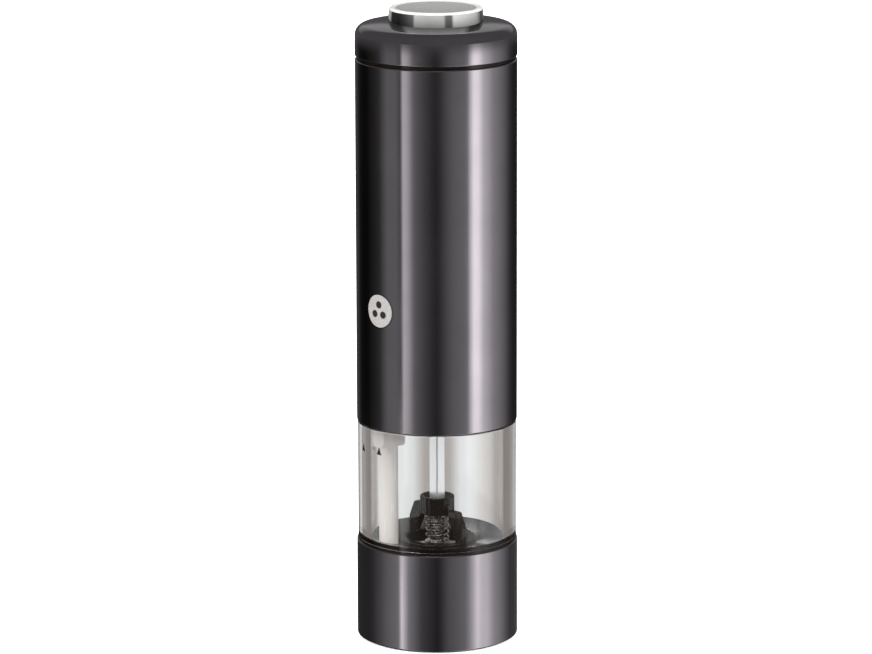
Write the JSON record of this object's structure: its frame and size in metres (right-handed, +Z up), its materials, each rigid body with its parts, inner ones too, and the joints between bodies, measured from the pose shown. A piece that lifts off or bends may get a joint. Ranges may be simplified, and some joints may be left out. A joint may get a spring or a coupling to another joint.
{
  "type": "pepper mill",
  "caption": "Tall round battery pepper mill with a clear hopper, a grinder in its base, a metal tube that lifts off, and a push button on the cap.",
  "frame": {"origin": "centre of the face that the mill stands on", "axes": "+Z up along the mill's axis, -Y towards the front, +X to the right seen from the front"},
  "size_m": [0.0553, 0.0552, 0.2188],
  "materials": {
    "metal_skin": "dark purple-grey gloss, metallic",
    "black_plastic": "black gloss",
    "clear_acrylic": "clear",
    "ceramic": "matt off-white",
    "steel": "bright",
    "brass": "turned",
    "grey_plastic": "matt dark grey",
    "pale_plastic": "pale, translucent",
    "gear_plastic": "natural nylon",
    "silicone": "translucent grey",
    "copper_wire": "insulated wire",
    "motor_steel": "zinc plated",
    "cell_label": "printed film",
    "bright_metal": "chrome plated"
  },
  "bodies": {
    "hopper": {"base_sleeve": "metal_skin", "base_body": "black_plastic", "burr_carrier": "black_plastic", "ring_burr": "ceramic", "outlet_ring": "black_plastic", "outlet_screws": "steel", "cross_plate": "steel", "plate_screws": "steel", "spindle_bush": "brass", "feed_ring": "black_plastic", "hopper_window": "clear_acrylic", "lamp_conduit": "clear_acrylic", "lamp_block": "pale_plastic", "lamp_pads": "brass", "lamp_wires": "copper_wire", "lamp_led": "clear_acrylic", "lamp_lens": "clear_acrylic"},
    "spindle": {"grind_spindle": "steel", "coupling_cup": "black_plastic", "cup_spring": "steel"},
    "rotor": {"rotor_burr": "ceramic"},
    "knob": {"adjuster_knob": "black_plastic"},
    "seal": {"hopper_seal": "silicone"},
    "head": {"outer_tube": "metal_skin", "head_liner": "grey_plastic", "hopper_lid": "grey_plastic", "lid_screws": "steel", "lamp_pins": "brass", "shaft_bush": "brass", "gear_case": "grey_plastic", "case_screws": "steel", "case_cover": "grey_plastic", "motor_screws": "steel", "motor_can": "motor_steel", "motor_end": "pale_plastic", "battery_carrier": "grey_plastic", "carrier_screws": "steel", "lower_contacts": "brass", "cell_springs": "steel", "power_strip": "brass", "cell_1": "cell_label", "cell_2": "cell_label", "cell_3": "cell_label", "cell_4": "cell_label"},
    "output": {"drive_shaft": "steel", "output_carrier": "gear_plastic"},
    "first_stage": {"first_carrier": "gear_plastic"},
    "pinion": {"motor_pinion": "brass"},
    "slow_planet_1": {"slow_planet_1": "gear_plastic"},
    "slow_planet_2": {"slow_planet_2": "gear_plastic"},
    "slow_planet_3": {"slow_planet_3": "gear_plastic"},
    "fast_planet_1": {"fast_planet_1": "gear_plastic"},
    "fast_planet_2": {"fast_planet_2": "gear_plastic"},
    "fast_planet_3": {"fast_planet_3": "gear_plastic"},
    "cap": {"cap": "metal_skin", "cap_base": "black_plastic", "upper_contacts": "brass", "switch": "grey_plastic", "button_spring": "steel"},
    "button": {"push_button": "bright_metal"}
  },
  "joints": [
    {"name": "grind_spin", "type": "hinge", "parent": "hopper", "child": "spindle", "pos_m": [0, 0, 0], "axis": [0, 0, 1], "continuous": true},
    {"name": "burr_gap", "type": "slide", "parent": "spindle", "child": "rotor", "axis": [0, 0, -1], "range_m": [0, 0.001]},
    {"name": "adjuster_turn", "type": "hinge", "parent": "rotor", "child": "knob", "pos_m": [0, 0, 0], "axis": [0, 0, 1], "range_deg": [0, 450]},
    {"name": "head_lift", "type": "slide", "parent": "hopper", "child": "seal", "axis": [0, 0, 1], "range_m": [0, 0.06]},
    {"name": "head_twist", "type": "hinge", "parent": "seal", "child": "head", "pos_m": [0, 0, 0], "axis": [0, 0, 1], "range_deg": [-20.5, 0]},
    {"name": "output_spin", "type": "hinge", "parent": "head", "child": "output", "pos_m": [0, 0, 0], "axis": [0, 0, 1], "continuous": true},
    {"name": "first_stage_spin", "type": "hinge", "parent": "head", "child": "first_stage", "pos_m": [0, 0, 0], "axis": [0, 0, 1], "continuous": true},
    {"name": "motor_spin", "type": "hinge", "parent": "head", "child": "pinion", "pos_m": [0, 0, 0], "axis": [0, 0, 1], "continuous": true},
    {"name": "slow_planet_1_spin", "type": "hinge", "parent": "output", "child": "slow_planet_1", "pos_m": [0.00675, 0, 0.0965], "axis": [0, 0, 1], "continuous": true},
    {"name": "slow_planet_2_spin", "type": "hinge", "parent": "output", "child": "slow_planet_2", "pos_m": [-0.00337, 0.00585, 0.0965], "axis": [0, 0, 1], "continuous": true},
    {"name": "slow_planet_3_spin", "type": "hinge", "parent": "output", "child": "slow_planet_3", "pos_m": [-0.00337, -0.00585, 0.0965], "axis": [0, 0, 1], "continuous": true},
    {"name": "fast_planet_1_spin", "type": "hinge", "parent": "first_stage", "child": "fast_planet_1", "pos_m": [0.00675, 0, 0.1034], "axis": [0, 0, 1], "continuous": true},
    {"name": "fast_planet_2_spin", "type": "hinge", "parent": "first_stage", "child": "fast_planet_2", "pos_m": [-0.00337, 0.00585, 0.1034], "axis": [0, 0, 1], "continuous": true},
    {"name": "fast_planet_3_spin", "type": "hinge", "parent": "first_stage", "child": "fast_planet_3", "pos_m": [-0.00337, -0.00585, 0.1034], "axis": [0, 0, 1], "continuous": true},
    {"name": "cap_lift", "type": "slide", "parent": "head", "child": "cap", "axis": [0, 0, 1], "range_m": [0, 0.03]},
    {"name": "button_press", "type": "slide", "parent": "cap", "child": "button", "axis": [0, 0, -1], "range_m": [0, 0.002], "stiffness_N_per_m": 800, "springref_m": -0.002, "deforming": ["button_spring"]}
  ],
  "couplings": [
    {"joint": "output_spin", "follows": "grind_spin", "ratio": 1},
    {"joint": "first_stage_spin", "follows": "grind_spin", "ratio": 6},
    {"joint": "motor_spin", "follows": "grind_spin", "ratio": 36},
    {"joint": "slow_planet_1_spin", "follows": "grind_spin", "ratio": -2.5},
    {"joint": "slow_planet_2_spin", "follows": "grind_spin", "ratio": -2.5},
    {"joint": "slow_planet_3_spin", "follows": "grind_spin", "ratio": -2.5},
    {"joint": "fast_planet_1_spin", "follows": "grind_spin", "ratio": -15},
    {"joint": "fast_planet_2_spin", "follows": "grind_spin", "ratio": -15},
    {"joint": "fast_planet_3_spin", "follows": "grind_spin", "ratio": -15},
    {"joint": "adjuster_turn", "follows": "burr_gap", "rad_per_m": 7854}
  ]
}
